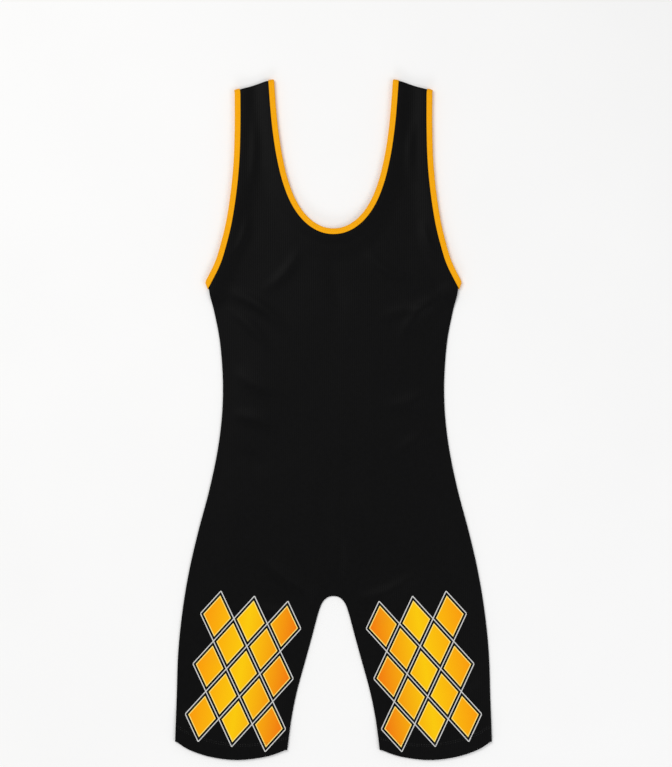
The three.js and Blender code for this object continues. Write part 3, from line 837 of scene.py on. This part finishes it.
def make_printed_knit():
    """The black knit with a dye-sublimated lattice on each leg: flat colour in the yarn, no relief.
    Gold diamonds with a pale edge shade from orange to yellow, with a silver line between them."""
    material, tree, shader = new_material("printed_warp_knit")
    mottle = knit_surface(tree, shader)
    place = add(tree, "ShaderNodeUVMap", uv_map="print").outputs["UV"]
    half = (HALF_CELL, HALF_CELL, 0)

    # Which cell a point is in, and how far it is from that cell's edge
    centred = add(tree, "ShaderNodeVectorMath", [(0, place), (1, half)], operation="ADD").outputs[0]
    cell = add(tree, "ShaderNodeVectorMath", [(0, centred)], operation="FLOOR").outputs[0]
    fraction = add(tree, "ShaderNodeVectorMath", [(0, centred)], operation="FRACTION").outputs[0]
    offset = add(tree, "ShaderNodeVectorMath", [(0, fraction), (1, half)], operation="SUBTRACT").outputs[0]
    size = add(tree, "ShaderNodeVectorMath", [(0, offset)], operation="ABSOLUTE").outputs[0]
    parts = add(tree, "ShaderNodeSeparateXYZ", [(0, size)])
    larger = add(tree, "ShaderNodeMath", [(0, parts.outputs[0]), (1, parts.outputs[1])],
                 operation="MAXIMUM")
    span = DIAMOND["width"] * DIAMOND["height"] / math.hypot(DIAMOND["width"], DIAMOND["height"])
    from_edge = add(tree, "ShaderNodeMapRange", [("Value", larger.outputs[0]), ("From Min", HALF_CELL),
                                                 ("From Max", 0), ("To Max", span / 2)]).outputs[0]

    # Whether its cell is printed, or the cell across the nearest edge
    first = add(tree, "ShaderNodeMath", [(0, parts.outputs[0]), (1, parts.outputs[1])],
                operation="GREATER_THAN").outputs[0]
    second = add(tree, "ShaderNodeMath", [(0, 1.0), (1, first)], operation="SUBTRACT").outputs[0]
    nearest = add(tree, "ShaderNodeCombineXYZ", [(0, first), (1, second)]).outputs[0]
    side_sign = add(tree, "ShaderNodeVectorMath", [(0, offset)], operation="SIGN").outputs[0]
    step = add(tree, "ShaderNodeVectorMath", [(0, side_sign), (1, nearest)],
               operation="MULTIPLY").outputs[0]
    neighbour = add(tree, "ShaderNodeVectorMath", [(0, cell), (1, step)], operation="ADD").outputs[0]
    printed = in_lattice(tree, cell)
    beside = add(tree, "ShaderNodeMath", [(0, printed), (1, in_lattice(tree, neighbour))],
                 operation="MAXIMUM")

    # The gold's ramp runs across the leg, from orange through yellow to orange
    ramp = add(tree, "ShaderNodeSeparateXYZ", [(0, place)])
    across = add(tree, "ShaderNodeMath", [(0, ramp.outputs[0]), (1, ramp.outputs[1])], operation="ADD")
    share = add(tree, "ShaderNodeMapRange", [("Value", across.outputs[0]), ("From Min", -RAMP_REACH),
                                             ("From Max", RAMP_REACH)])
    gold = add(tree, "ShaderNodeValToRGB", [("Fac", share.outputs[0])])
    stops = gold.color_ramp.elements
    stops[0].color = linear("#F27006")
    stops[1].color = linear("#FB9801")
    middle = stops.new(YELLOW_SHARE)
    middle.color = linear("#FCCA02")

    bands = [
        ("gold", printed, GOLD_FROM, PAST_MIDDLE, gold.outputs[0]),
        ("pale edge", printed, GOLD_FROM, GOLD_FROM + PALE_EDGE, linear("#FFE27A")),
        ("silver line", beside.outputs[0], -PAST_MIDDLE, SILVER_LINE, linear("#CFCFCD")),
    ]
    colour = knit_colour(tree, mottle)
    for label, where, start, end, ink in bands:
        after = add(tree, "ShaderNodeMath", [(0, from_edge), (1, start)], operation="GREATER_THAN")
        before = add(tree, "ShaderNodeMath", [(0, from_edge), (1, end)], operation="LESS_THAN")
        both = add(tree, "ShaderNodeMath", [(0, after.outputs[0]), (1, before.outputs[0])],
                   operation="MULTIPLY")
        there = add(tree, "ShaderNodeMath", [(0, both.outputs[0]), (1, where)],
                    operation="MULTIPLY", label=label)
        inked = add(tree, "ShaderNodeMix", [(FACTOR, there.outputs[0]), (COLOUR_A, colour),
                                            (COLOUR_B, ink)], data_type="RGBA")
        colour = inked.outputs[MIXED_COLOUR]
    tree.links.new(colour, shader.inputs["Base Color"])
    return material


def make_gold_binding(name, loop_length):
    """Matt gold rib knit, dyed in the piece: cross ribs and a little unevenness in the dye.
    Real ribs are 1 mm apart, too fine to show from here, so they are drawn 3.2 mm apart."""
    material, tree, shader = new_material(name)
    strip = add(tree, "ShaderNodeUVMap", uv_map="strip").outputs["UV"]
    scaled = add(tree, "ShaderNodeMapping", [("Vector", strip),
                                             ("Scale", (2 * BINDING_WIDTH, loop_length, 1))])
    ribs = add(tree, "ShaderNodeTexWave", [("Vector", scaled.outputs[0]), ("Scale", wave_scale(RIB)),
                                           ("Distortion", 0.6), ("Detail", 1.0)], bands_direction="Y")
    place = add(tree, "ShaderNodeTexCoord").outputs["Object"]
    mottle = add(tree, "ShaderNodeTexNoise", [("Vector", place), ("Scale", 1 / DYE_MOTTLE),
                                              ("Detail", 3.0)])
    bump = add(tree, "ShaderNodeBump", [("Strength", 0.6), ("Distance", RIB_RELIEF),
                                        ("Height", ribs.outputs["Fac"])])
    dye = add(tree, "ShaderNodeMix", [(FACTOR, mottle.outputs["Fac"]), (COLOUR_A, linear("#F1A300")),
                                      (COLOUR_B, linear("#FBB005"))], data_type="RGBA")
    tree.links.new(dye.outputs[MIXED_COLOUR], shader.inputs["Base Color"])
    tree.links.new(bump.outputs["Normal"], shader.inputs["Normal"])
    shader.inputs["Roughness"].default_value = 0.82
    shader.inputs["Specular IOR Level"].default_value = 0.1
    shader.inputs["Sheen Weight"].default_value = 0.03
    return material


def make_thread(name, colour, roughness):
    """Spun polyester sewing thread: a soft shine, with a fine twist."""
    material, tree, shader = new_material(name)
    place = add(tree, "ShaderNodeTexCoord").outputs["Object"]
    twist = add(tree, "ShaderNodeTexWave", [("Vector", place), ("Scale", wave_scale(TWIST))],
                bands_direction="DIAGONAL")
    bump = add(tree, "ShaderNodeBump", [("Strength", 0.3), ("Distance", TWIST_RELIEF),
                                        ("Height", twist.outputs["Fac"])])
    tree.links.new(bump.outputs["Normal"], shader.inputs["Normal"])
    shader.inputs["Base Color"].default_value = linear(colour)
    shader.inputs["Roughness"].default_value = roughness
    return material


def make_floor_paint():
    """Matt white paint, rolled: nearly even, with the faintest mottle."""
    material, tree, shader = new_material("matt_white_paint")
    place = add(tree, "ShaderNodeTexCoord").outputs["Object"]
    mottle = add(tree, "ShaderNodeTexNoise", [("Vector", place), ("Scale", 1 / FLOOR_MOTTLE),
                                              ("Detail", 2.0)])
    tone = add(tree, "ShaderNodeMix", [(FACTOR, mottle.outputs["Fac"]), (COLOUR_A, linear("#F8F8F8")),
                                       (COLOUR_B, linear("#FBFBFB"))], data_type="RGBA")
    tree.links.new(tone.outputs[MIXED_COLOUR], shader.inputs["Base Color"])
    shader.inputs["Roughness"].default_value = 0.95
    shader.inputs["Specular IOR Level"].default_value = 0.1
    return material


def make_camera():
    """A camera over the garment, high enough for the whole height of the photograph."""
    data = bpy.data.cameras.new("camera")
    data.lens = LENS
    data.sensor_width = SENSOR
    camera = bpy.data.objects.new("camera", data)
    right = (IMAGE["width"] / 2 - CENTRE_LINE_PIXEL) * MM_PER_PIXEL * MM
    up = (MIDDLE_PIXEL - IMAGE["height"] / 2) * MM_PER_PIXEL * MM
    view_height = IMAGE["height"] * MM_PER_PIXEL * MM
    camera.location = (right, up, view_height * LENS / SENSOR + BACK_FLAT)
    bpy.context.scene.collection.objects.link(camera)
    bpy.context.scene.camera = camera


def make_light(name, place, size, power, colour):
    data = bpy.data.lights.new(name, "AREA")
    data.shape = "RECTANGLE"
    data.size, data.size_y = size
    data.energy = power
    data.color = linear(colour)[:3]
    light = bpy.data.objects.new(name, data)
    light.location = place
    light.rotation_euler = (-Vector(place)).to_track_quat("-Z", "Y").to_euler()
    bpy.context.scene.collection.objects.link(light)


def make_studio():
    bm = bmesh.new()
    bmesh.ops.create_grid(bm, x_segments=1, y_segments=1, size=FLOOR_HALF)
    floor = finish_mesh(bm, "floor", [make_floor_paint()])
    for light in LIGHTS:
        make_light(*light)
    world = bpy.data.worlds.new("studio")
    world.use_nodes = True
    background = world.node_tree.nodes["Background"]
    background.inputs["Color"].default_value = linear("#FFFFFF")
    background.inputs["Strength"].default_value = STUDIO_BRIGHTNESS
    bpy.context.scene.world = world
    bpy.context.scene.view_settings.view_transform = "Standard"


def loop_length(stations):
    """How long a binding's strip is, all the way round."""
    places = [station.place for station in stations + stations[:1]]
    return running_lengths(places)[-1]


def make_singlet():
    """All the pieces, each hiding the solid it stands for and riding on the root."""
    plain = make_black_knit()
    printed = make_printed_knit()
    black_thread = make_thread("black_thread", "#0E0E0E", 0.45)
    gold_thread = make_thread("gold_thread", "#FBB92A", 0.5)

    front = make_panel(FRONT, "front_cloth", [plain, plain])
    back = make_panel(BACK, "back_cloth", [printed, plain])
    front_sewn = make_hem_stitches(FRONT, "front_hem_stitches", black_thread)
    back_sewn = make_hem_stitches(BACK, "back_hem_stitches", black_thread)
    for piece, node, sewn, rests in (
        (front, "front_panel", front_sewn, "floor"),
        (back, "back_panel", back_sewn, "front_cloth"),
    ):
        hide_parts(node)
        for cloth in (piece, sewn):
            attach(cloth, "root")

    right = armhole_stations()
    bindings = [
        ("neck", "neck_binding", neck_stations()),
        ("left_armhole", "armhole_binding_left", mirrored(right)),
        ("right_armhole", "armhole_binding_right", right),
    ]
    for name, node, stations in bindings:
        length = loop_length(stations)
        piece = make_binding(f"{name}_trim", stations, make_gold_binding(f"gold_rib_of_{name}", length))
        sewn = make_binding_stitches(f"{name}_stitches", stations, gold_thread)
        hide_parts(node)
        for cloth in (piece, sewn):
            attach(cloth, "root")


make_studio()
make_camera()
make_singlet()
